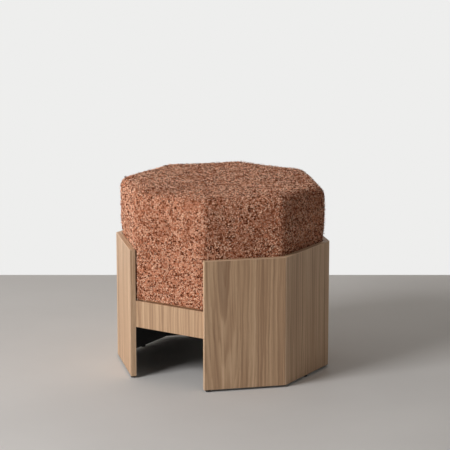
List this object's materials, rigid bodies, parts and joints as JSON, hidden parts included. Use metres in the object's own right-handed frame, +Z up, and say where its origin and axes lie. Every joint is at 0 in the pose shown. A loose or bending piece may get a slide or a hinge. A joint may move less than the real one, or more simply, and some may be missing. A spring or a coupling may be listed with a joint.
{
  "type": "upholstered pouf",
  "caption": "Octagonal pouf: a thick boucle seat bolted down between mitred wood-veneer shells, with a rail across the open gap at front and back, on low glides.",
  "frame": {"origin": "on the floor under the middle of the seat", "axes": "+Z up, +X across the two shells, -Y out of the front gap"},
  "size_m": [0.48, 0.4724, 0.4525],
  "materials": {
    "veneer": "satin",
    "edge_band": "satin",
    "plywood": "matte",
    "softwood": "matte",
    "boucle": "matte",
    "foam": "matte",
    "fibre": "matte",
    "dust_cloth": "matte",
    "steel": "satin",
    "glide": "matte"
  },
  "bodies": {
    "root": {"cleat_screws": "steel", "cover_front_panel": "boucle", "cover_left_front_panel": "boucle", "cover_left_rear_panel": "boucle", "cover_left_side_panel": "boucle", "cover_rear_panel": "boucle", "cover_right_front_panel": "boucle", "cover_right_rear_panel": "boucle", "cover_right_side_panel": "boucle", "cover_top_panel": "boucle", "dust_cover": "dust_cloth", "fibre_wrap": "fibre", "floor_glides": "glide", "foam_core": "foam", "foam_topper": "foam", "front_rail": "veneer", "front_rail_splines": "plywood", "left_front_cleat": "softwood", "left_front_end_band": "edge_band", "left_front_panel": "veneer", "left_front_spline": "plywood", "left_front_top_band": "edge_band", "left_rear_cleat": "softwood", "left_rear_end_band": "edge_band", "left_rear_panel": "veneer", "left_rear_spline": "plywood", "left_rear_top_band": "edge_band", "left_side_cleat": "softwood", "left_side_panel": "veneer", "left_side_top_band": "edge_band", "rear_rail": "veneer", "rear_rail_splines": "plywood", "right_front_cleat": "softwood", "right_front_end_band": "edge_band", "right_front_panel": "veneer", "right_front_spline": "plywood", "right_front_top_band": "edge_band", "right_rear_cleat": "softwood", "right_rear_end_band": "edge_band", "right_rear_panel": "veneer", "right_rear_spline": "plywood", "right_rear_top_band": "edge_band", "right_side_cleat": "softwood", "right_side_panel": "veneer", "right_side_top_band": "edge_band", "seat_board": "plywood", "seat_bolts": "steel", "seat_inserts": "steel"}
  },
  "joints": []
}
